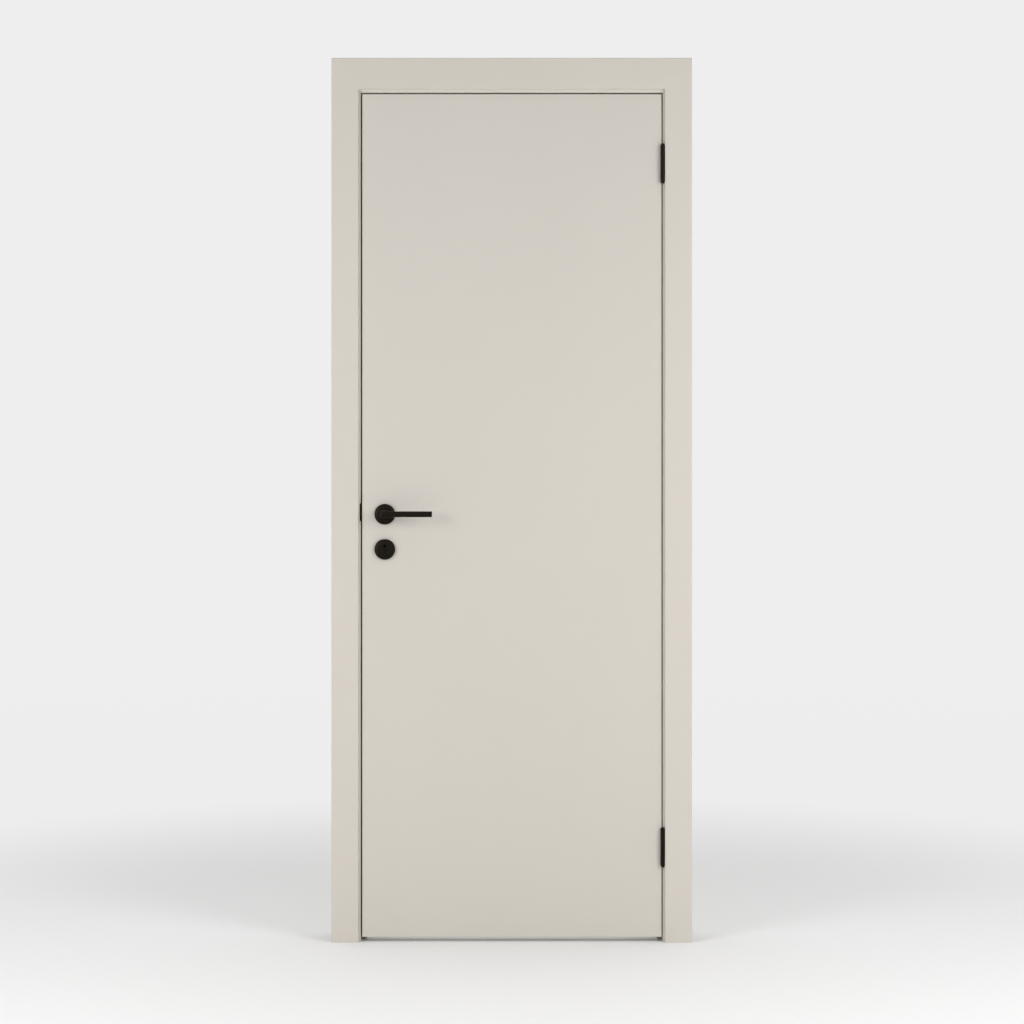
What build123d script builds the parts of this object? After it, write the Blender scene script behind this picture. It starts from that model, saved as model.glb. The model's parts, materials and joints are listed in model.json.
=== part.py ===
"""A flush interior door in its frame, with architraves on both sides of the wall, two butt hinges,
a mortise lock and a lever handle.

X runs along the wall, from the lock side to the hinge side. Y runs through the wall, from the
side that the leaf opens to, towards the other side. Z is up. The origin is at the foot of the
hinge jamb's outer face, halfway through the wall. Millimetres.
"""

import os

from build123d import *

os.makedirs("parts", exist_ok=True)

# Leaf
leaf_width = 725
leaf_height = 2040
leaf_thickness = 40
leaf_arris = 1.2
skin_thickness = 3
hinge_stile_width = 40
lock_stile_width = 115
rail_height = 45

# Running gaps round the closed leaf
hinge_gap = 2.5
lock_gap = 3.5
top_gap = 3.5
floor_gap = 12

# Lining: the jambs and the head that line the wall's opening
lining_depth = 100
lining_thickness = 30
lining_arris = 1.2

# Stops planted on the lining, and the seal let into their front edge
stop_thickness = 12
stop_arris = 1
seal_space = 3
seal_clearance = 0.3
seal_width = 8
seal_edge_radius = 2
seal_stem_width = 3
seal_stem_depth = 6

# Architraves, each with a shallow relief in its back, so that it beds on the lining and on the wall
side_architrave_width = 65
head_architrave_width = 75
architrave_thickness = 10
architrave_outer_radius = 3
architrave_inner_radius = 1.2
wall_strip_width = 20
relief_depth = 1.5
relief_past_lining = 3
relief_end_distance = 15
head_reveal = 7.5
knuckle_to_architrave = 0.5

# Hinges
hinge_height = 90
hinge_plate_width = 32
hinge_plate_thickness = 3
hinge_plate_radius = 8
knuckle_diameter = 10
knuckle_count = 3
knuckle_gap = 0.4
pin_diameter = 6
pin_clearance = 0.1
pin_button_diameter = 7
pin_button_height = 3
pin_proud_of_leaf = 7
pin_towards_frame = 0.75
upper_hinge_below_top = 169
lower_hinge_above_bottom = 218
hinge_screw_diameter = 4.5
hinge_screw_head = 8.4
hinge_screw_count = 3
hinge_screw_from_end = 14
hinge_screw_stagger = 9

# Lock: distances from the leaf's lock edge and from the lever's axis
backset = 55
lever_height = 1035
lever_to_key = 85
case_depth_past_spindle = 25
case_above_lever = 45
case_below_key = 32
case_thickness = 15
case_clearance = 0.5
forend_length = 235
forend_width = 20
forend_thickness = 3
latch_above_lever = 5
latch_height = 30
latch_width = 12
latch_nose = 9
deadbolt_below_lever = 60
deadbolt_height = 34
deadbolt_width = 12
bolt_length = 30
bolt_clearance = 0.3
forend_screw_diameter = 4.5
forend_screw_head = 8
forend_screw_from_end = 12
spindle_hole_diameter = 12

# Strike plate on the lock jamb
strike_height = 170
strike_width = 24
strike_thickness = 2
strike_corner_radius = 6
strike_lip_height = 43
strike_lip_radius = 1.6
strike_pocket_clearance = 2.5
strike_pocket_depth = 18
strike_screw_from_end = 14
strike_screw_diameter = 4.5
strike_screw_head = 7.5

# Roses and keyhole
rose_diameter = 50
rose_thickness = 8.5
rose_face_diameter = 34
rose_bevel_height = 2
rose_edge_chamfer = 0.5
keyhole_diameter = 8
keyhole_slot_width = 3.2
keyhole_height = 24
keyhole_bore_clearance = 1.5

# Lever
neck_diameter = 19
neck_clearance = 0.3
bar_diameter = 14
bar_length = 116
bar_from_leaf = 50
taper_length = 24
bar_end_chamfer = 0.8
spindle_side = 8
spindle_socket_depth = 28
spindle_bore_diameter = 22

# Places along X
hinge_jamb_face = -lining_thickness
leaf_right = hinge_jamb_face - hinge_gap
leaf_left = leaf_right - leaf_width
lock_jamb_face = leaf_left - lock_gap
lock_jamb_outer = lock_jamb_face - lining_thickness
spindle_x = leaf_left + backset

# Places along Y
front_y = -lining_depth / 2
back_y = lining_depth / 2
leaf_back_y = front_y + leaf_thickness
leaf_middle_y = front_y + leaf_thickness / 2
stop_front_y = leaf_back_y + seal_space
stop_depth = back_y - stop_front_y

# Places along Z
leaf_bottom = floor_gap
leaf_top = leaf_bottom + leaf_height
head_underside = leaf_top + top_gap
lining_top = head_underside + lining_thickness
stop_underside = head_underside - stop_thickness
key_height = lever_height - lever_to_key
latch_z = lever_height + latch_above_lever
deadbolt_z = lever_height - deadbolt_below_lever
strike_middle_z = (latch_z + deadbolt_z) / 2

# Hinge pin axis, and the middle of each hinge
pin_x = hinge_jamb_face - hinge_gap / 2 + pin_towards_frame
pin_y = front_y - pin_proud_of_leaf
hinge_heights = {
    "upper": leaf_top - upper_hinge_below_top,
    "lower": leaf_bottom + lower_hinge_above_bottom,
}

# The side architraves stand just clear of the hinge knuckles, and the lock side matches
side_reveal = pin_x + knuckle_diameter / 2 + knuckle_to_architrave - hinge_jamb_face


def save(piece, label):
    """Names a finished piece and writes it to its own file."""
    piece.part.label = label
    export_step(piece.part, f"parts/{label}.step")


def slab(corner, opposite, mode=Mode.ADD):
    """A rectangular block between two opposite corners, added to the piece being built or cut from it."""
    size = [abs(b - a) for a, b in zip(corner, opposite)]
    middle = [(a + b) / 2 for a, b in zip(corner, opposite)]
    with Locations(tuple(middle)):
        Box(*size, mode=mode)


def edge_plane(x, y):
    """A plane that faces along the wall: its X runs through the wall and its Y is up from the floor."""
    return Plane(origin=(x, y, 0), x_dir=(0, 1, 0), z_dir=(1, 0, 0))


def hinge_plate_outline(hinge_z):
    """The face of a hinge plate, on a plane that faces along the wall from the frame's front."""
    with Locations((hinge_plate_width / 2, hinge_z)):
        Rectangle(hinge_plate_width, hinge_height)


def hinge_recesses(face_x, into):
    """Cuts the recesses of both hinges into one edge, with their far corners rounded as the plates are."""
    with BuildSketch(edge_plane(face_x, front_y)) as plates:
        for hinge_z in hinge_heights.values():
            hinge_plate_outline(hinge_z)
        fillet(vertices().group_by(Axis.X)[-1], hinge_plate_radius)
    extrude(plates.sketch, amount=into * hinge_plate_thickness, mode=Mode.SUBTRACT)


bolts = {
    "latch_bolt": (latch_z, latch_width, latch_height),
    "deadbolt": (deadbolt_z, deadbolt_width, deadbolt_height),
}


def bolt_outlines(clearance, mode=Mode.ADD):
    """The sections of both bolts, with a clearance all round, on a plane through the leaf's middle."""
    for bolt_z, width, height in bolts.values():
        with Locations((0, bolt_z)):
            Rectangle(width + 2 * clearance, height + 2 * clearance, mode=mode)


def strike_outline():
    """The strike plate's face, with the tongue that runs from its middle to the frame's front edge."""
    tongue_length = leaf_middle_y - front_y
    with Locations((0, strike_middle_z)):
        RectangleRounded(strike_width, strike_height, strike_corner_radius)
    with Locations((-tongue_length / 2, latch_z)):
        Rectangle(tongue_length, strike_lip_height)


# Lining

with BuildPart() as jamb_hinge_side:
    slab((hinge_jamb_face, front_y, 0), (0, back_y, head_underside))
    fillet(
        jamb_hinge_side.edges().filter_by(Axis.Z).group_by(Axis.Y)[0].sort_by(Axis.X)[0],
        lining_arris,
    )
    hinge_recesses(hinge_jamb_face, 1)
save(jamb_hinge_side, "jamb_hinge_side")

lock_jamb_plane = edge_plane(lock_jamb_face, leaf_middle_y)

with BuildPart() as jamb_lock_side:
    slab((lock_jamb_outer, front_y, 0), (lock_jamb_face, back_y, head_underside))
    fillet(
        jamb_lock_side.edges().filter_by(Axis.Z).group_by(Axis.Y)[0].sort_by(Axis.X)[-1],
        lining_arris,
    )
    with BuildSketch(lock_jamb_plane):
        strike_outline()
    extrude(amount=-strike_thickness, mode=Mode.SUBTRACT)
    with BuildSketch(lock_jamb_plane):
        bolt_outlines(strike_pocket_clearance)
    extrude(amount=-strike_pocket_depth, mode=Mode.SUBTRACT)
save(jamb_lock_side, "jamb_lock_side")

with BuildPart() as frame_head:
    slab((lock_jamb_outer, front_y, head_underside), (0, back_y, lining_top))
    fillet(
        frame_head.edges().filter_by(Axis.X).group_by(Axis.Y)[0].sort_by(Axis.Z)[0],
        lining_arris,
    )
save(frame_head, "frame_head")


# Stops with their seals

def stop_outline():
    """Section of a stop: X is its thickness from the lining, Y is its depth from the seal's edge."""
    with Locations((stop_thickness / 2, stop_depth / 2)):
        Rectangle(stop_thickness, stop_depth)
    fillet(vertices().group_by(Axis.X)[-1], stop_arris)
    with Locations((stop_thickness / 2, seal_stem_depth / 2)):
        Rectangle(seal_stem_width, seal_stem_depth, mode=Mode.SUBTRACT)


def seal_outline():
    """Section of a seal in the same axes: a stem in the stop's groove and a rounded bulb before it."""
    bulb_height = seal_space - seal_clearance
    with Locations((stop_thickness / 2, seal_stem_depth / 2)):
        Rectangle(seal_stem_width, seal_stem_depth)
    with Locations((stop_thickness / 2, -bulb_height / 2)):
        Rectangle(seal_width, bulb_height)
    fillet(vertices().group_by(Axis.Y)[0], seal_edge_radius)


# Each run of stop lies on a plane whose X points away from the lining and whose Y points through the wall
side_runs = {
    "hinge_side": Plane(origin=(hinge_jamb_face, stop_front_y, 0), x_dir=(-1, 0, 0), z_dir=(0, 0, -1)),
    "lock_side": Plane(origin=(lock_jamb_face, stop_front_y, 0), x_dir=(1, 0, 0), z_dir=(0, 0, 1)),
}
head_run = Plane(origin=(hinge_jamb_face, stop_front_y, head_underside), x_dir=(0, 0, -1), z_dir=(1, 0, 0))

for side, run in side_runs.items():
    length = stop_underside * run.z_dir.Z
    with BuildPart() as stop:
        with BuildSketch(run):
            stop_outline()
        extrude(amount=length)
    save(stop, f"stop_{side}")
    with BuildPart() as seal:
        with BuildSketch(run):
            seal_outline()
        extrude(amount=length)
    save(seal, f"seal_{side}")

clear_width = hinge_jamb_face - lock_jamb_face

with BuildPart() as stop_head:
    with BuildSketch(head_run):
        stop_outline()
    extrude(amount=-clear_width)
save(stop_head, "stop_head")

with BuildPart() as seal_head:
    with BuildSketch(head_run):
        seal_outline()
    extrude(amount=-clear_width)
save(seal_head, "seal_head")


# Architraves, the same on both faces of the wall

faces = {"front": (front_y, -1), "back": (back_y, 1)}
hinge_side_inner = hinge_jamb_face + side_reveal
lock_side_inner = lock_jamb_face - side_reveal
side_architraves = {
    "hinge_side": (hinge_side_inner, 0, 1),
    "lock_side": (lock_side_inner, lock_jamb_outer, -1),
}
head_left = lock_side_inner - side_architrave_width
head_right = hinge_side_inner + side_architrave_width
head_bottom = head_underside + head_reveal
head_top = head_bottom + head_architrave_width

for face, (wall_y, outward) in faces.items():
    outer_y = wall_y + outward * architrave_thickness
    relief_y = wall_y + outward * relief_depth
    for side, (inner_x, lining_outer_x, away) in side_architraves.items():
        outer_x = inner_x + away * side_architrave_width
        with BuildPart() as architrave:
            slab((inner_x, wall_y, 0), (outer_x, outer_y, head_bottom))
            show_edges = architrave.edges().filter_by(Axis.Z).sort_by(lambda e: outward * e.center().Y)[-2:]
            inner_edge, outer_edge = show_edges.sort_by(lambda e: away * e.center().X)
            fillet(inner_edge, architrave_inner_radius)
            fillet(outer_edge, architrave_outer_radius)
            slab(
                (lining_outer_x + away * relief_past_lining, wall_y, 0),
                (outer_x - away * wall_strip_width, relief_y, head_bottom),
                mode=Mode.SUBTRACT,
            )
        save(architrave, f"architrave_{face}_{side}")

    # The head's lower edge is rounded over the doorway only, so that its joints with the sides stay tight
    with BuildPart() as architrave:
        slab((head_left, wall_y, head_bottom), (head_right, outer_y, head_top))
        show_edges = architrave.edges().filter_by(Axis.X).sort_by(lambda e: outward * e.center().Y)[-2:]
        fillet(show_edges.sort_by(Axis.Z)[-1], architrave_outer_radius)
        with BuildSketch(edge_plane(lock_side_inner, outer_y)):
            with Locations((-outward * architrave_inner_radius / 2, head_bottom + architrave_inner_radius / 2)):
                Rectangle(architrave_inner_radius, architrave_inner_radius)
            with Locations((-outward * architrave_inner_radius, head_bottom + architrave_inner_radius)):
                Circle(architrave_inner_radius, mode=Mode.SUBTRACT)
        extrude(amount=hinge_side_inner - lock_side_inner, mode=Mode.SUBTRACT)
        slab(
            (head_left + relief_end_distance, wall_y, lining_top + relief_past_lining),
            (head_right - relief_end_distance, relief_y, head_top - wall_strip_width),
            mode=Mode.SUBTRACT,
        )
    save(architrave, f"architrave_{face}_head")


# Strike plate: a flat plate in the jamb, with a lip that rounds over the frame's front edge

lip_back_x = lock_jamb_face - strike_lip_radius

with BuildPart() as strike_plate:
    with BuildSketch(lock_jamb_plane):
        strike_outline()
        bolt_outlines(strike_pocket_clearance, mode=Mode.SUBTRACT)
    extrude(amount=-strike_thickness)
    with BuildSketch(Plane.XY.offset(latch_z - strike_lip_height / 2)):
        with BuildLine():
            Polyline((lock_jamb_face, front_y), (lip_back_x, front_y), (lip_back_x, front_y - strike_lip_radius))
            RadiusArc((lip_back_x, front_y - strike_lip_radius), (lock_jamb_face, front_y), -strike_lip_radius)
        make_face()
    extrude(amount=strike_lip_height)
    with Locations(lock_jamb_plane):
        with Locations(
            (0, strike_middle_z - strike_height / 2 + strike_screw_from_end),
            (0, strike_middle_z + strike_height / 2 - strike_screw_from_end),
        ):
            CounterSinkHole(strike_screw_diameter / 2, strike_screw_head / 2, strike_thickness)
save(strike_plate, "strike_plate")


# Hinges

knuckle_length = (hinge_height - (knuckle_count - 1) * knuckle_gap) / knuckle_count
knuckle_pitch = knuckle_length + knuckle_gap
hinge_screw_pitch = (hinge_height - 2 * hinge_screw_from_end) / (hinge_screw_count - 1)
hinge_screws = [
    (
        hinge_plate_width / 2 + hinge_screw_stagger / 2 * (-1) ** number,
        number * hinge_screw_pitch - hinge_height / 2 + hinge_screw_from_end,
    )
    for number in range(hinge_screw_count)
]

hinge_sides = {
    "frame": (hinge_jamb_face, 1, range(0, knuckle_count, 2)),
    "door": (leaf_right, -1, range(1, knuckle_count, 2)),
}

for level, hinge_z in hinge_heights.items():
    hinge_bottom = hinge_z - hinge_height / 2
    for carrier, (face_x, into, knuckles) in hinge_sides.items():
        plate_middle_x = face_x + into * hinge_plate_thickness / 2
        screw_face = Plane(origin=(face_x, front_y, hinge_z), x_dir=(0, -into, 0), z_dir=(-into, 0, 0))
        with BuildPart() as hinge:
            with BuildSketch(edge_plane(face_x, front_y)):
                hinge_plate_outline(hinge_z)
                fillet(vertices().group_by(Axis.X)[-1], hinge_plate_radius)
            extrude(amount=into * hinge_plate_thickness)
            for number in knuckles:
                with BuildSketch(Plane.XY.offset(hinge_bottom + number * knuckle_pitch)):
                    with Locations((pin_x, pin_y)):
                        Circle(knuckle_diameter / 2)
                    with Locations((plate_middle_x, (front_y + pin_y) / 2)):
                        Rectangle(hinge_plate_thickness, pin_proud_of_leaf)
                extrude(amount=knuckle_length)
            with BuildSketch(Plane.XY.offset(hinge_bottom)):
                with Locations((pin_x, pin_y)):
                    Circle(pin_diameter / 2 + pin_clearance)
            extrude(amount=hinge_height, mode=Mode.SUBTRACT)
            with Locations(screw_face):
                with Locations(*[(-into * across, along) for across, along in hinge_screws]):
                    CounterSinkHole(hinge_screw_diameter / 2, hinge_screw_head / 2, hinge_plate_thickness)
        save(hinge, f"hinge_{carrier}_{level}")
    with BuildPart() as hinge_pin:
        with BuildSketch(Plane.XY.offset(hinge_bottom)):
            with Locations((pin_x, pin_y)):
                Circle(pin_diameter / 2)
        extrude(amount=hinge_height)
        for button_z in (hinge_bottom - pin_button_height, hinge_bottom + hinge_height):
            with BuildSketch(Plane.XY.offset(button_z)):
                with Locations((pin_x, pin_y)):
                    Circle(pin_button_diameter / 2)
            extrude(amount=pin_button_height)
    save(hinge_pin, f"hinge_pin_{level}")


# Leaf

lock_edge_plane = edge_plane(leaf_left, leaf_middle_y)
front_plane = Plane(origin=(spindle_x, front_y, 0), x_dir=(1, 0, 0), z_dir=(0, -1, 0))
keyhole_shank = keyhole_height - keyhole_diameter / 2
case_left = leaf_left + forend_thickness
case_right = spindle_x + case_depth_past_spindle
case_bottom = key_height - case_below_key
case_top = lever_height + case_above_lever
forend_middle_z = (case_bottom + case_top) / 2


def keyhole_outline(clearance):
    """The keyhole's section about the spindle's X: a round with a slot hanging from it."""
    top_z = key_height + keyhole_height / 2 - keyhole_diameter / 2
    with Locations((0, top_z)):
        Circle(keyhole_diameter / 2 + clearance)
    with Locations((0, top_z - keyhole_shank / 2)):
        Rectangle(keyhole_slot_width + 2 * clearance, keyhole_shank + clearance)


def handle_holes():
    """The holes through the leaf behind the roses, for the spindle and the key."""
    with BuildSketch(front_plane) as holes:
        with Locations((0, lever_height)):
            Circle(spindle_bore_diameter / 2)
        keyhole_outline(keyhole_bore_clearance)
    extrude(holes.sketch, amount=-leaf_thickness, mode=Mode.SUBTRACT)


skin_places = {
    "leaf_front_skin": (front_y, front_y + skin_thickness, 0),
    "leaf_back_skin": (leaf_back_y - skin_thickness, leaf_back_y, -1),
}
for label, (low_y, high_y, face_group) in skin_places.items():
    with BuildPart() as skin:
        slab((leaf_left, low_y, leaf_bottom), (leaf_right, high_y, leaf_top))
        fillet(skin.faces().sort_by(Axis.Y)[face_group].edges(), leaf_arris)
        hinge_recesses(leaf_right, -1)
        handle_holes()
    save(skin, label)

inner_front_y = front_y + skin_thickness
inner_back_y = leaf_back_y - skin_thickness

with BuildPart() as hinge_stile:
    slab(
        (leaf_right - hinge_stile_width, inner_front_y, leaf_bottom),
        (leaf_right, inner_back_y, leaf_top),
    )
    hinge_recesses(leaf_right, -1)
save(hinge_stile, "hinge_stile")

with BuildPart() as lock_stile:
    slab(
        (leaf_left, inner_front_y, leaf_bottom),
        (leaf_left + lock_stile_width, inner_back_y, leaf_top),
    )
    with BuildSketch(lock_edge_plane):
        with Locations((0, forend_middle_z)):
            SlotOverall(forend_length, forend_width, rotation=90)
    extrude(amount=forend_thickness, mode=Mode.SUBTRACT)
    with BuildSketch(lock_edge_plane):
        with Locations((0, forend_middle_z)):
            Rectangle(case_thickness + 2 * case_clearance, case_top - case_bottom + 2 * case_clearance)
    extrude(amount=case_right - leaf_left + case_clearance, mode=Mode.SUBTRACT)
    handle_holes()
save(lock_stile, "lock_stile")

rail_left = leaf_left + lock_stile_width
rail_right = leaf_right - hinge_stile_width
rail_places = {"bottom_rail": leaf_bottom, "top_rail": leaf_top - rail_height}
for label, rail_bottom in rail_places.items():
    with BuildPart() as rail:
        slab(
            (rail_left, inner_front_y, rail_bottom),
            (rail_right, inner_back_y, rail_bottom + rail_height),
        )
    save(rail, label)

with BuildPart() as leaf_core:
    slab(
        (rail_left, inner_front_y, leaf_bottom + rail_height),
        (rail_right, inner_back_y, leaf_top - rail_height),
    )
save(leaf_core, "leaf_core")


# Lock

with BuildPart() as lock_case:
    slab(
        (case_left, leaf_middle_y - case_thickness / 2, case_bottom),
        (case_right, leaf_middle_y + case_thickness / 2, case_top),
    )
    with BuildSketch(lock_edge_plane):
        bolt_outlines(bolt_clearance)
    extrude(amount=bolt_length, mode=Mode.SUBTRACT)
    with BuildSketch(front_plane):
        with Locations((0, lever_height)):
            Circle(spindle_hole_diameter / 2)
        keyhole_outline(0)
    extrude(amount=-leaf_thickness, mode=Mode.SUBTRACT)
save(lock_case, "lock_case")

with BuildPart() as lock_forend:
    with BuildSketch(lock_edge_plane):
        with Locations((0, forend_middle_z)):
            SlotOverall(forend_length, forend_width, rotation=90)
        bolt_outlines(bolt_clearance, mode=Mode.SUBTRACT)
    extrude(amount=forend_thickness)
    with Locations(Plane(origin=(leaf_left, leaf_middle_y, 0), x_dir=(0, -1, 0), z_dir=(-1, 0, 0))):
        with Locations(
            (0, forend_middle_z - forend_length / 2 + forend_screw_from_end),
            (0, forend_middle_z + forend_length / 2 - forend_screw_from_end),
        ):
            CounterSinkHole(forend_screw_diameter / 2, forend_screw_head / 2, forend_thickness)
save(lock_forend, "lock_forend")

with BuildPart() as latch_bolt:
    with BuildSketch(Plane.XY.offset(latch_z - latch_height / 2)):
        with BuildLine():
            Polyline(
                (leaf_left, leaf_middle_y + latch_width / 2),
                (leaf_left + bolt_length, leaf_middle_y + latch_width / 2),
                (leaf_left + bolt_length, leaf_middle_y - latch_width / 2),
                (leaf_left + latch_nose, leaf_middle_y - latch_width / 2),
                close=True,
            )
        make_face()
    extrude(amount=latch_height)
save(latch_bolt, "latch_bolt")

with BuildPart() as deadbolt:
    slab(
        (leaf_left, leaf_middle_y - deadbolt_width / 2, deadbolt_z - deadbolt_height / 2),
        (leaf_left + bolt_length, leaf_middle_y + deadbolt_width / 2, deadbolt_z + deadbolt_height / 2),
    )
save(deadbolt, "deadbolt")


# Roses and levers, the same on both sides of the leaf

leaf_faces = {"front": (front_y, -1), "back": (leaf_back_y, 1)}
neck_radius = neck_diameter / 2
bar_radius = bar_diameter / 2

for side, (face_y, outward) in leaf_faces.items():
    for use, axis_z in (("lever", lever_height), ("key", key_height)):
        rose_plane = Plane(origin=(spindle_x, face_y, axis_z), x_dir=(1, 0, 0), z_dir=(0, 0, outward))
        with BuildPart() as rose:
            with BuildSketch(rose_plane):
                with BuildLine():
                    Polyline(
                        (0, 0),
                        (rose_diameter / 2, 0),
                        (rose_diameter / 2, rose_thickness - rose_bevel_height),
                        (rose_face_diameter / 2, rose_thickness),
                        (0, rose_thickness),
                        close=True,
                    )
                make_face()
                chamfer(vertices().sort_by(Axis.X)[-2:].sort_by(Axis.Y)[-1], rose_edge_chamfer)
            revolve(axis=Axis((spindle_x, face_y, axis_z), (0, outward, 0)))
            with BuildSketch(front_plane):
                if use == "lever":
                    with Locations((0, lever_height)):
                        Circle(neck_radius + neck_clearance)
                else:
                    keyhole_outline(0)
            extrude(amount=lining_depth, both=True, mode=Mode.SUBTRACT)
        save(rose, f"{side}_{use}_rose")
    bar_y = face_y + outward * bar_from_leaf
    with BuildPart() as lever:
        with BuildSketch(Plane(origin=(spindle_x, face_y, lever_height), x_dir=(1, 0, 0), z_dir=(0, outward, 0))):
            Circle(neck_radius)
        extrude(amount=bar_from_leaf)
        with Locations((spindle_x, bar_y, lever_height)):
            Sphere(neck_radius)
        with BuildSketch(Plane(origin=(spindle_x, bar_y, lever_height), x_dir=(1, 0, 0), z_dir=(0, -1, 0))):
            with BuildLine():
                Polyline(
                    (0, 0),
                    (0, neck_radius),
                    (taper_length, bar_radius),
                    (bar_length - bar_end_chamfer, bar_radius),
                    (bar_length, bar_radius - bar_end_chamfer),
                    (bar_length, 0),
                    close=True,
                )
            make_face()
        revolve(axis=Axis((spindle_x, bar_y, lever_height), (1, 0, 0)))
        with BuildSketch(Plane(origin=(spindle_x, face_y, lever_height), x_dir=(1, 0, 0), z_dir=(0, outward, 0))):
            Rectangle(spindle_side, spindle_side)
        extrude(amount=spindle_socket_depth, mode=Mode.SUBTRACT)
    save(lever, f"{side}_lever")

with BuildPart() as spindle:
    slab(
        (spindle_x - spindle_side / 2, front_y - spindle_socket_depth, lever_height - spindle_side / 2),
        (spindle_x + spindle_side / 2, leaf_back_y + spindle_socket_depth, lever_height + spindle_side / 2),
    )
save(spindle, "lever_spindle")
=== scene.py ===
"""Looks of the interior door: surfaces, screws, lock levers, floor, light and camera. In metres."""

import json
import math

import bmesh
import bpy
from mathutils import Matrix, Vector


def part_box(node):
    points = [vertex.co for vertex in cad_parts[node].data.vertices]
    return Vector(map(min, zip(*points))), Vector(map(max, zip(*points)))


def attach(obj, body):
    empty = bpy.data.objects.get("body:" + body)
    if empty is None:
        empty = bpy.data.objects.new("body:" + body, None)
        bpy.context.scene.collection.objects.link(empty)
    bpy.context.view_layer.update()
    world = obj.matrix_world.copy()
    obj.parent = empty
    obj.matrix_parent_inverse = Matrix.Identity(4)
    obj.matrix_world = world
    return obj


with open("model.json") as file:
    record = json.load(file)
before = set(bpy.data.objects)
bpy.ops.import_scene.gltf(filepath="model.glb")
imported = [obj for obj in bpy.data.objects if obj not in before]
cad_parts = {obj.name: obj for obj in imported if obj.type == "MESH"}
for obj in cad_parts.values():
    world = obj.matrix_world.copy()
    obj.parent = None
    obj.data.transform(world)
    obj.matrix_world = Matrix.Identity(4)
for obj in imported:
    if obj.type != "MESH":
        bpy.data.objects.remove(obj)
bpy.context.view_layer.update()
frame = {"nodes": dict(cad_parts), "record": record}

PHOTO_SIDE = 1024
METRES_PER_PIXEL = 0.0024204
LEAF_CENTRE_PIXEL_X = 511.9
LEAF_MIDDLE_PIXEL_Y = 515.5
CAMERA_DISTANCE = 4.8
SENSOR_WIDTH = 36.0

leaf_low, leaf_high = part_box("leaf_front_skin")
leaf_centre_x = (leaf_low.x + leaf_high.x) / 2
leaf_middle_z = (leaf_low.z + leaf_high.z) / 2
front_y = leaf_low.y


# Materials

NOISE_LOW = 0.3
NOISE_HIGH = 0.7
CLOUD_DETAIL = 4.0
PATCH_DETAIL = 3.0
GRAIN_DETAIL = 2.0
PATCHES_PER_CLOUD = 9
RELIEF_DEPTH = 0.0005


def new_material(name):
    """A node material with its Principled shader and output, and its nodes and links."""
    material = bpy.data.materials.new(name)
    material.use_nodes = True
    return material, material.node_tree.nodes, material.node_tree.links


def noise(nodes, links, coordinates, scale, detail, stretch=(1, 1, 1)):
    """A noise texture over the object's own coordinates."""
    mapping = nodes.new("ShaderNodeMapping")
    mapping.inputs["Scale"].default_value = stretch
    links.new(coordinates, mapping.inputs["Vector"])
    texture = nodes.new("ShaderNodeTexNoise")
    texture.inputs["Scale"].default_value = scale
    texture.inputs["Detail"].default_value = detail
    links.new(mapping.outputs["Vector"], texture.inputs["Vector"])
    return texture.outputs["Fac"]


def ramp(nodes, links, value, low, high):
    """Maps a noise value, which keeps near its middle, between two numbers."""
    node = nodes.new("ShaderNodeMapRange")
    node.inputs["From Min"].default_value = NOISE_LOW
    node.inputs["From Max"].default_value = NOISE_HIGH
    node.inputs["To Min"].default_value = low
    node.inputs["To Max"].default_value = high
    links.new(value, node.inputs["Value"])
    return node.outputs["Result"]


def tint(nodes, links, value, dark, light):
    """A colour between two, by a value."""
    node = nodes.new("ShaderNodeMix")
    node.data_type = "RGBA"
    node.inputs["A"].default_value = (*dark, 1)
    node.inputs["B"].default_value = (*light, 1)
    links.new(value, node.inputs["Factor"])
    return node.outputs["Result"]


def surface(name, dark, light, roughness, specular=0.5, metallic=0.0, cloud=2.0, grain=900.0, bump=0.02,
            stretch=(1, 1, 1), shine=(1, 1, 1)):
    """A surface with a faint cloud in its colour, uneven roughness, a fine relief and tinted gloss."""
    material, nodes, links = new_material(name)
    shader = nodes["Principled BSDF"]
    coordinates = nodes.new("ShaderNodeTexCoord").outputs["Object"]
    clouds = noise(nodes, links, coordinates, cloud, CLOUD_DETAIL, stretch)
    shades = ramp(nodes, links, clouds, 0.0, 1.0)
    links.new(tint(nodes, links, shades, dark, light), shader.inputs["Base Color"])
    patches = noise(nodes, links, coordinates, cloud * PATCHES_PER_CLOUD, PATCH_DETAIL, stretch)
    links.new(ramp(nodes, links, patches, roughness[0], roughness[1]), shader.inputs["Roughness"])
    shader.inputs["Metallic"].default_value = metallic
    shader.inputs["Specular IOR Level"].default_value = specular
    shader.inputs["Specular Tint"].default_value = (*shine, 1)
    relief = nodes.new("ShaderNodeBump")
    relief.inputs["Strength"].default_value = bump
    relief.inputs["Distance"].default_value = RELIEF_DEPTH
    links.new(noise(nodes, links, coordinates, grain, GRAIN_DETAIL), relief.inputs["Height"])
    links.new(relief.outputs["Normal"], shader.inputs["Normal"])
    return material


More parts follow.
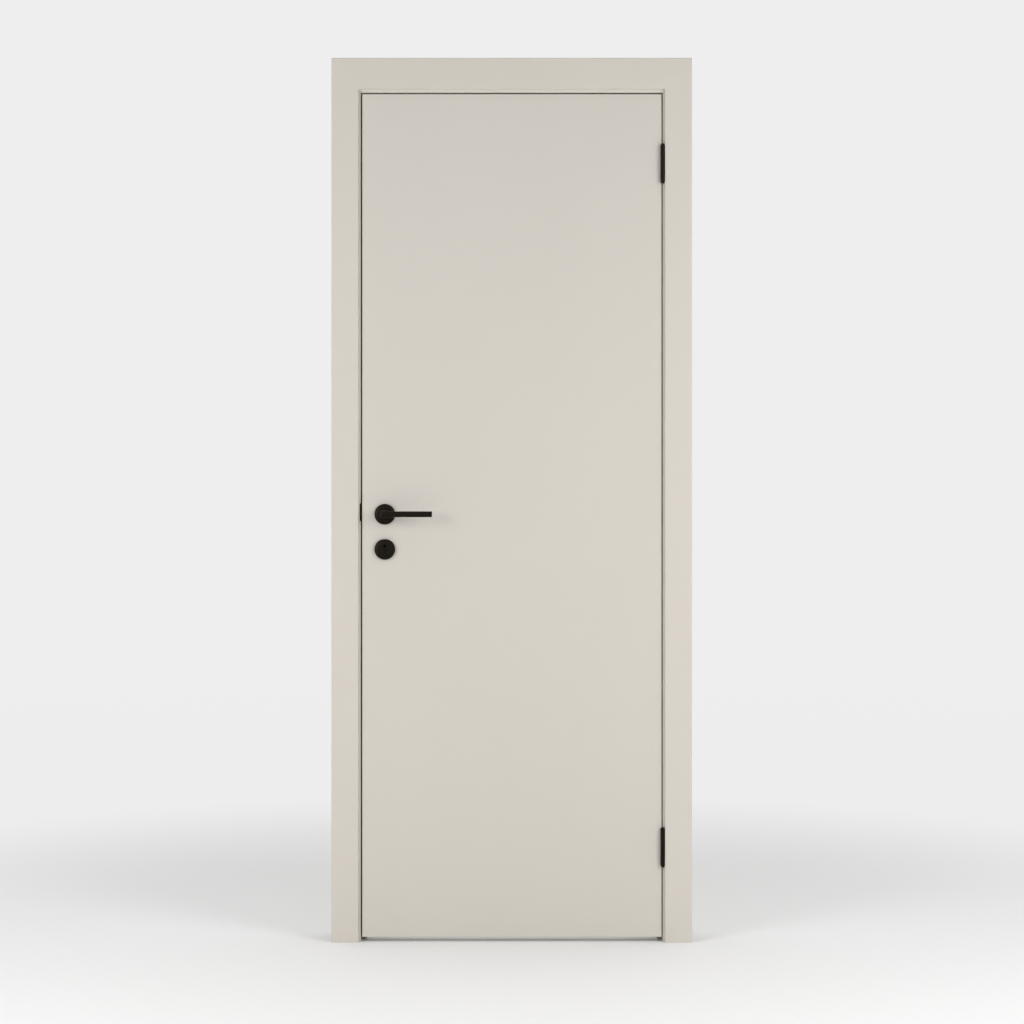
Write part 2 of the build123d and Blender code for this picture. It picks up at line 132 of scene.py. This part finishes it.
leaf_lacquer = surface("leaf_lacquer", (0.653, 0.614, 0.557), (0.670, 0.631, 0.573), (0.40, 0.47), 0.3,
                       stretch=(1, 1, 0.3))
frame_lacquer = surface("frame_lacquer", (0.665, 0.623, 0.562), (0.682, 0.640, 0.578), (0.38, 0.46), 0.3,
                        stretch=(1, 1, 0.2))
black_coat = surface("black_coat", (0.0020, 0.0015, 0.0008), (0.0034, 0.0025, 0.0013), (0.38, 0.46), 0.15,
                     cloud=30, grain=1800, bump=0.07, shine=(1.0, 0.83, 0.66))
core_board = surface("core_board", (0.36, 0.27, 0.17), (0.50, 0.40, 0.28), (0.75, 0.9),
                     cloud=60, grain=600, bump=0.4)
seal_rubber = surface("seal_rubber", (0.35, 0.33, 0.30), (0.40, 0.38, 0.35), (0.6, 0.7), cloud=20)
zinc = surface("zinc_plate", (0.34, 0.34, 0.35), (0.44, 0.44, 0.45), (0.65, 0.78), metallic=1.0, cloud=25)
nickel = surface("nickel_plate", (0.50, 0.49, 0.47), (0.58, 0.57, 0.55), (0.22, 0.32), metallic=1.0, cloud=25)

slot_materials = {
    "leaf_lacquer": leaf_lacquer,
    "frame_lacquer": frame_lacquer,
    "core_board": core_board,
    "seal_rubber": seal_rubber,
    "black_hardware": black_coat,
    "lock_steel": zinc,
    "bright_steel": nickel,
}
slots_of_nodes = {row["node"]: row["material_slot"] for row in frame["record"]["subparts"]}
for node, piece in frame["nodes"].items():
    for slot in piece.material_slots:
        slot.material = slot_materials[slots_of_nodes[node]]


# Screws in the countersunk holes

MILLIMETRE = 0.001
HEAD_SEGMENTS = 24
HEAD_BELOW_FACE = 0.10 * MILLIMETRE
HEAD_RIM_HEIGHT = 0.12 * MILLIMETRE
HEAD_RIM_INSET = 0.04 * MILLIMETRE
HEAD_TOP_INSET = 0.16 * MILLIMETRE
HEAD_CONE_SLOPE = 1.05
SHANK_CLEARANCE = 0.25 * MILLIMETRE
SHANK_LENGTH = 3.0 * MILLIMETRE
# The cross recess, as shares of the head's radius, and how much of it is left at its floor
RECESS_ARM = 0.52
RECESS_HALF_WIDTH = 0.17
RECESS_DEPTH = 0.374
RECESS_FLOOR_SHARE = 0.6
FIRST_SCREW_TURN = 0.5
SCREW_TURN_STEP = 1.3


def add_screw(mesh, place, outward, turn, head_radius, hole_radius):
    """One countersunk cross-head screw, added to a bmesh, its head just below the plate's face."""
    outward = Vector(outward)
    spin = Matrix.Rotation(turn, 4, "Z")
    stand = Matrix.Translation(Vector(place)) @ outward.to_track_quat("Z", "Y").to_matrix().to_4x4() @ spin
    top = -HEAD_BELOW_FACE
    rim = top - HEAD_RIM_HEIGHT
    shank = -(head_radius - hole_radius) * HEAD_CONE_SLOPE
    tip = -SHANK_LENGTH
    shank_radius = hole_radius - SHANK_CLEARANCE

    def ring(radius, height):
        return [
            mesh.verts.new(stand @ Vector((
                radius * math.cos(2 * math.pi * k / HEAD_SEGMENTS),
                radius * math.sin(2 * math.pi * k / HEAD_SEGMENTS),
                height,
            )))
            for k in range(HEAD_SEGMENTS)
        ]

    levels = [
        ring(head_radius - HEAD_TOP_INSET, top),
        ring(head_radius - HEAD_RIM_INSET, rim),
        ring(shank_radius, shank),
        ring(shank_radius, tip),
    ]
    for upper, lower in zip(levels, levels[1:]):
        for k in range(HEAD_SEGMENTS):
            j = (k + 1) % HEAD_SEGMENTS
            mesh.faces.new((upper[j], upper[k], lower[k], lower[j]))
    mesh.faces.new(list(reversed(levels[-1])))

    # The cross recess: a plus in the head's top, with a smaller plus at its floor
    arm, half = RECESS_ARM * head_radius, RECESS_HALF_WIDTH * head_radius
    quarter = [(arm, -half), (arm, half), (half, half)]
    outline = [Matrix.Rotation(math.pi / 2 * q, 2) @ Vector(p) for q in range(4) for p in quarter]
    mouth = [mesh.verts.new(stand @ Vector((p.x, p.y, top))) for p in outline]
    bottom = top - RECESS_DEPTH * head_radius
    floor = [
        mesh.verts.new(stand @ Vector((p.x * RECESS_FLOOR_SHARE, p.y * RECESS_FLOOR_SHARE, bottom)))
        for p in outline
    ]
    count = len(outline)
    for k in range(count):
        j = (k + 1) % count
        mesh.faces.new((mouth[k], mouth[j], floor[j], floor[k]))
    mesh.faces.new(floor)
    # The head's top joins each pair of rim points to one point of the plus
    per_corner = HEAD_SEGMENTS // count
    head = levels[0]
    first = HEAD_SEGMENTS - per_corner // 2
    for k in range(count):
        j = (k + 1) % count
        fan = [head[(first + per_corner * k + step) % HEAD_SEGMENTS] for step in range(per_corner + 1)]
        for a, b in zip(fan, fan[1:]):
            mesh.faces.new((mouth[k], a, b))
        mesh.faces.new((mouth[k], fan[-1], mouth[j]))


def add_black_piece(name, body, mesh):
    """Turns a bmesh into a black piece that rides on a body."""
    bmesh.ops.recalc_face_normals(mesh, faces=mesh.faces)
    data = bpy.data.meshes.new(name)
    mesh.to_mesh(data)
    mesh.free()
    piece = bpy.data.objects.new(name, data)
    bpy.context.scene.collection.objects.link(piece)
    data.materials.append(black_coat)
    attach(piece, body)


def screw_set(name, body, places, outward, head_radius):
    """The screws of one plate, as one mesh that rides with the plate."""
    mesh = bmesh.new()
    for number, place in enumerate(places):
        turn = FIRST_SCREW_TURN + SCREW_TURN_STEP * number
        add_screw(mesh, place, outward, turn, head_radius, SCREW_HOLE_RADIUS)
    add_black_piece(name, body, mesh)


HINGE_PLATE_WIDTH = 32 * MILLIMETRE
HINGE_SCREW_FROM_END = 14 * MILLIMETRE
HINGE_SCREW_STAGGER = 9 * MILLIMETRE
HINGE_HEAD_RADIUS = 4.2 * MILLIMETRE
STRIKE_SCREW_FROM_END = 14 * MILLIMETRE
STRIKE_HEAD_RADIUS = 3.75 * MILLIMETRE
FOREND_SCREW_FROM_END = 12 * MILLIMETRE
FOREND_HEAD_RADIUS = 4.0 * MILLIMETRE
SCREW_HOLE_RADIUS = 2.25 * MILLIMETRE

for level in ("upper", "lower"):
    for carrier, body, edge in (("frame", "frame", "jamb_hinge_side"), ("door", "door", "hinge_stile")):
        low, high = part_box(f"hinge_{carrier}_{level}")
        edge_low, edge_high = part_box(edge)
        face_x = edge_low.x if carrier == "frame" else edge_high.x
        outward = (-1, 0, 0) if carrier == "frame" else (1, 0, 0)
        heights = (low.z + HINGE_SCREW_FROM_END, (low.z + high.z) / 2, high.z - HINGE_SCREW_FROM_END)
        places = [
            (face_x, front_y + HINGE_PLATE_WIDTH / 2 + HINGE_SCREW_STAGGER / 2 * (-1) ** number, z)
            for number, z in enumerate(heights)
        ]
        screw_set(f"hinge_screws_{carrier}_{level}", body, places, outward, HINGE_HEAD_RADIUS)

leaf_back_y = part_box("leaf_back_skin")[1].y
lock_middle_y = (front_y + leaf_back_y) / 2
for name, body, plate, from_end, head_radius in (
    ("strike_screws", "frame", "strike_plate", STRIKE_SCREW_FROM_END, STRIKE_HEAD_RADIUS),
    ("forend_screws", "door", "lock_forend", FOREND_SCREW_FROM_END, FOREND_HEAD_RADIUS),
):
    low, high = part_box(plate)
    face_x = high.x if body == "frame" else low.x
    outward = (1, 0, 0) if body == "frame" else (-1, 0, 0)
    places = [(face_x, lock_middle_y, low.z + from_end), (face_x, lock_middle_y, high.z - from_end)]
    screw_set(name, body, places, outward, head_radius)


# The levers of the lock, which fill the keyhole in the lock case; their black is painted shade for the dark
# inside of the keyhole, where real lever plates are bare steel

KEYHOLE_ROUND_HEIGHT = 0.958
KEYHOLE_FOOT_HEIGHT = 0.938
LOCK_LEVER_RADIUS = 4.3 * MILLIMETRE
LOCK_LEVER_HALF_SLOT = 1.9 * MILLIMETRE
LOCK_LEVER_THICKNESS = 1.4 * MILLIMETRE
LOCK_LEVER_PITCH = 1.8 * MILLIMETRE
LOCK_LEVER_CHAMFER = 0.2 * MILLIMETRE
LOCK_LEVER_COUNT = 7
LOCK_LEVER_ARC_STEPS = 20


def keyhole_loop(mesh, spindle_x, y, inset):
    """The keyhole's outline at one depth: a round with a slot hanging from it."""
    radius = LOCK_LEVER_RADIUS - inset
    half_slot = LOCK_LEVER_HALF_SLOT - inset
    opening = math.asin(half_slot / radius)
    start = opening - math.pi / 2
    sweep = 2 * (math.pi - opening)
    points = [
        (radius * math.cos(start + sweep * k / LOCK_LEVER_ARC_STEPS),
         KEYHOLE_ROUND_HEIGHT + radius * math.sin(start + sweep * k / LOCK_LEVER_ARC_STEPS))
        for k in range(LOCK_LEVER_ARC_STEPS + 1)
    ]
    points += [(-half_slot, KEYHOLE_FOOT_HEIGHT + inset), (half_slot, KEYHOLE_FOOT_HEIGHT + inset)]
    return [mesh.verts.new((spindle_x + x, y, z)) for x, z in points]


def lock_levers():
    """A stack of thin chamfered plates in the lock case's keyhole, coloured black as painted shade for the
    dark inside of the keyhole.
    """
    spindle_low, spindle_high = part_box("lever_spindle")
    spindle_x = (spindle_low.x + spindle_high.x) / 2
    mesh = bmesh.new()
    for number in range(LOCK_LEVER_COUNT):
        middle_y = lock_middle_y + (number - (LOCK_LEVER_COUNT - 1) / 2) * LOCK_LEVER_PITCH
        half = LOCK_LEVER_THICKNESS / 2
        loops = [
            keyhole_loop(mesh, spindle_x, middle_y + y, inset)
            for y, inset in (
                (-half, LOCK_LEVER_CHAMFER),
                (LOCK_LEVER_CHAMFER - half, 0),
                (half - LOCK_LEVER_CHAMFER, 0),
                (half, LOCK_LEVER_CHAMFER),
            )
        ]
        for front, back in zip(loops, loops[1:]):
            for k in range(len(front)):
                j = (k + 1) % len(front)
                mesh.faces.new((front[k], front[j], back[j], back[k]))
        mesh.faces.new(list(reversed(loops[0])))
        mesh.faces.new(loops[-1])
    # Painted shade: the lever plates take the hardware's black coat to stand in for the darkness deep in the
    # keyhole; real lever plates are bare steel
    add_black_piece("lock_levers", "door", mesh)


lock_levers()


# Floor and background

BACKGROUND_LEVEL = 0.855
FLOOR_ALBEDO = 0.86
FLOOR_ROUGHNESS = 0.9
FLOOR_REACH = 30.0
# Distances from the door between which the floor turns into the plain background, and the share it reaches
FLOOR_PLAIN_START = 1.0
FLOOR_PLAIN_END = 2.6
FLOOR_PLAIN_SHARE = 0.96
FLOOR_FADE_START = 3.0
FLOOR_FADE_END = 9.0
# The light of the surround, as strengths, and the directions between which it changes
WORLD_OVERHEAD = 0.75
WORLD_BEHIND = 0.43
WORLD_BEFORE = 0.03
WORLD_OVERHEAD_START = 0.35
WORLD_OVERHEAD_END = 0.85
WORLD_SIDE_BLEND = 0.3
# Each lamp's name, place from the middle of the leaf's foot line, width and height, and power in watts
LAMPS = (
    ("key_softbox", (0.5, -4.3, 2.4), (1.4, 1.0), 5),
    ("left_softbox", (-2.3, -2.3, 1.6), (1.5, 1.5), 37.5),
    ("right_softbox", (2.3, -2.3, 1.6), (1.5, 1.5), 44.3),
)
LAMP_AIM_HEIGHT = 0.95


def range_map(nodes, links, value, start, end, low, high):
    """A smooth step from one number to another as a value grows."""
    node = nodes.new("ShaderNodeMapRange")
    node.interpolation_type = "SMOOTHSTEP"
    node.inputs["From Min"].default_value = start
    node.inputs["From Max"].default_value = end
    node.inputs["To Min"].default_value = low
    node.inputs["To Max"].default_value = high
    links.new(value, node.inputs["Value"])
    return node.outputs["Result"]


def math_node(nodes, links, operation, *values):
    """One arithmetic node over the values of sockets."""
    node = nodes.new("ShaderNodeMath")
    node.operation = operation
    for socket, value in zip(node.inputs, values):
        links.new(value, socket)
    return node.outputs["Value"]


def seen_directly(nodes, links):
    """1 for rays from the camera, from gloss and through glass, and 0 for the rays that light things."""
    path = nodes.new("ShaderNodeLightPath")
    value = path.outputs["Is Camera Ray"]
    for other in ("Is Glossy Ray", "Is Transmission Ray"):
        value = math_node(nodes, links, "MAXIMUM", value, path.outputs[other])
    return value


def stage_floor():
    """A wide pale floor that keeps the door's shadow and fades into the background far from the door."""
    mesh = bpy.data.meshes.new("floor")
    signs = ((-1, -1), (1, -1), (1, 1), (-1, 1))
    corners = [(leaf_centre_x + FLOOR_REACH * x, FLOOR_REACH * y, 0) for x, y in signs]
    mesh.from_pydata(corners, [], [(0, 1, 2, 3)])
    floor = bpy.data.objects.new("floor", mesh)
    bpy.context.scene.collection.objects.link(floor)
    material, nodes, links = new_material("floor")
    shader = nodes["Principled BSDF"]
    shader.inputs["Base Color"].default_value = (FLOOR_ALBEDO, FLOOR_ALBEDO, FLOOR_ALBEDO, 1)
    shader.inputs["Roughness"].default_value = FLOOR_ROUGHNESS
    shader.inputs["Specular IOR Level"].default_value = 0.0
    distance = nodes.new("ShaderNodeVectorMath")
    distance.operation = "DISTANCE"
    distance.inputs[1].default_value = (leaf_centre_x, 0, 0)
    links.new(nodes.new("ShaderNodeNewGeometry").outputs["Position"], distance.inputs[0])
    away = distance.outputs["Value"]
    plain = nodes.new("ShaderNodeEmission")
    plain.inputs["Color"].default_value = (1, 1, 1, 1)
    plain.inputs["Strength"].default_value = BACKGROUND_LEVEL
    share = range_map(nodes, links, away, FLOOR_PLAIN_START, FLOOR_PLAIN_END, 0.0, FLOOR_PLAIN_SHARE)
    even = nodes.new("ShaderNodeMixShader")
    links.new(math_node(nodes, links, "MULTIPLY", share, seen_directly(nodes, links)), even.inputs["Fac"])
    links.new(shader.outputs["BSDF"], even.inputs[1])
    links.new(plain.outputs["Emission"], even.inputs[2])
    clear = nodes.new("ShaderNodeBsdfTransparent")
    blend = nodes.new("ShaderNodeMixShader")
    links.new(range_map(nodes, links, away, FLOOR_FADE_START, FLOOR_FADE_END, 0.0, 1.0), blend.inputs["Fac"])
    links.new(even.outputs["Shader"], blend.inputs[1])
    links.new(clear.outputs["BSDF"], blend.inputs[2])
    links.new(blend.outputs["Shader"], nodes["Material Output"].inputs["Surface"])
    mesh.materials.append(material)


def world_light():
    """A pale surround, brightest overhead and dimmest before the door, seen as an even background."""
    world = bpy.data.worlds.new("surround")
    bpy.context.scene.world = world
    world.use_nodes = True
    nodes, links = world.node_tree.nodes, world.node_tree.links
    lit = nodes["Background"]
    lit.inputs["Color"].default_value = (1, 1, 1, 1)
    direction = nodes.new("ShaderNodeTexCoord").outputs["Generated"]
    parts = nodes.new("ShaderNodeSeparateXYZ")
    links.new(direction, parts.inputs["Vector"])
    round_about = range_map(
        nodes, links, parts.outputs["Y"], -WORLD_SIDE_BLEND, WORLD_SIDE_BLEND, WORLD_BEFORE, WORLD_BEHIND
    )
    overhead = range_map(
        nodes, links, parts.outputs["Z"], WORLD_OVERHEAD_START, WORLD_OVERHEAD_END, 0.0, WORLD_OVERHEAD
    )
    links.new(math_node(nodes, links, "ADD", round_about, overhead), lit.inputs["Strength"])
    seen = nodes.new("ShaderNodeBackground")
    seen.inputs["Color"].default_value = (BACKGROUND_LEVEL, BACKGROUND_LEVEL, BACKGROUND_LEVEL, 1)
    mix = nodes.new("ShaderNodeMixShader")
    links.new(seen_directly(nodes, links), mix.inputs["Fac"])
    links.new(lit.outputs["Background"], mix.inputs[1])
    links.new(seen.outputs["Background"], mix.inputs[2])
    links.new(mix.outputs["Shader"], nodes["World Output"].inputs["Surface"])


def area_light(name, place, target, size, power):
    """A soft rectangular lamp that points at a target."""
    data = bpy.data.lights.new(name, "AREA")
    data.shape = "RECTANGLE"
    data.size, data.size_y = size
    data.energy = power
    lamp = bpy.data.objects.new(name, data)
    lamp.location = place
    lamp.rotation_euler = (Vector(target) - Vector(place)).to_track_quat("-Z", "Y").to_euler()
    bpy.context.scene.collection.objects.link(lamp)


stage_floor()
world_light()
lamp_target = (leaf_centre_x, front_y, LAMP_AIM_HEIGHT)
for name, (aside, y, z), size, power in LAMPS:
    area_light(name, (leaf_centre_x + aside, y, z), lamp_target, size, power)

bpy.context.scene.view_settings.view_transform = "Standard"


# Camera: level, straight in front of the door

camera_data = bpy.data.cameras.new("camera")
camera_data.sensor_width = SENSOR_WIDTH
camera_data.lens = SENSOR_WIDTH * CAMERA_DISTANCE / (PHOTO_SIDE * METRES_PER_PIXEL)
camera = bpy.data.objects.new("camera", camera_data)
camera.location = (
    leaf_centre_x + (PHOTO_SIDE / 2 - LEAF_CENTRE_PIXEL_X) * METRES_PER_PIXEL,
    front_y - CAMERA_DISTANCE,
    leaf_middle_z + (LEAF_MIDDLE_PIXEL_Y - PHOTO_SIDE / 2) * METRES_PER_PIXEL,
)
camera.rotation_euler = (math.radians(90), 0, 0)
bpy.context.scene.collection.objects.link(camera)
bpy.context.scene.camera = camera
